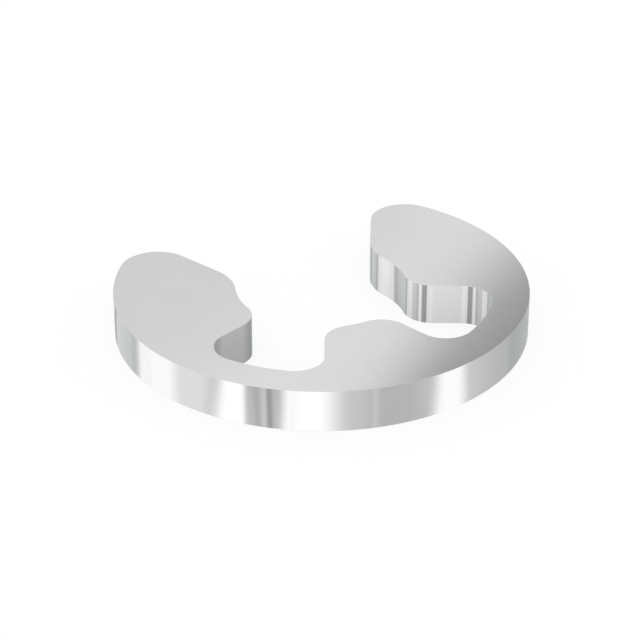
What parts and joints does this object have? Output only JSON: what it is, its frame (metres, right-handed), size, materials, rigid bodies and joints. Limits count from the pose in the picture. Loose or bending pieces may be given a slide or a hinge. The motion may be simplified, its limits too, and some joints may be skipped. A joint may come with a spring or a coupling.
{
  "type": "circlip",
  "caption": "Flat stamped E-shaped circlip that is pushed sideways into a shaft groove, with a flared mouth, rounded arms, a middle lobe and spring recesses",
  "frame": {"origin": "on the shaft's axis, in the bottom face", "axes": "+Z along the shaft, from the bottom face to the top face; +Y out through the mouth, which leads when the circlip is pushed on; +X across the mouth"},
  "size_m": [0.007, 0.0059, 0.0007],
  "materials": {
    "steel": "satin flat faces, smooth sheared edges"
  },
  "bodies": {
    "root": {"circlip": "steel"}
  },
  "joints": []
}
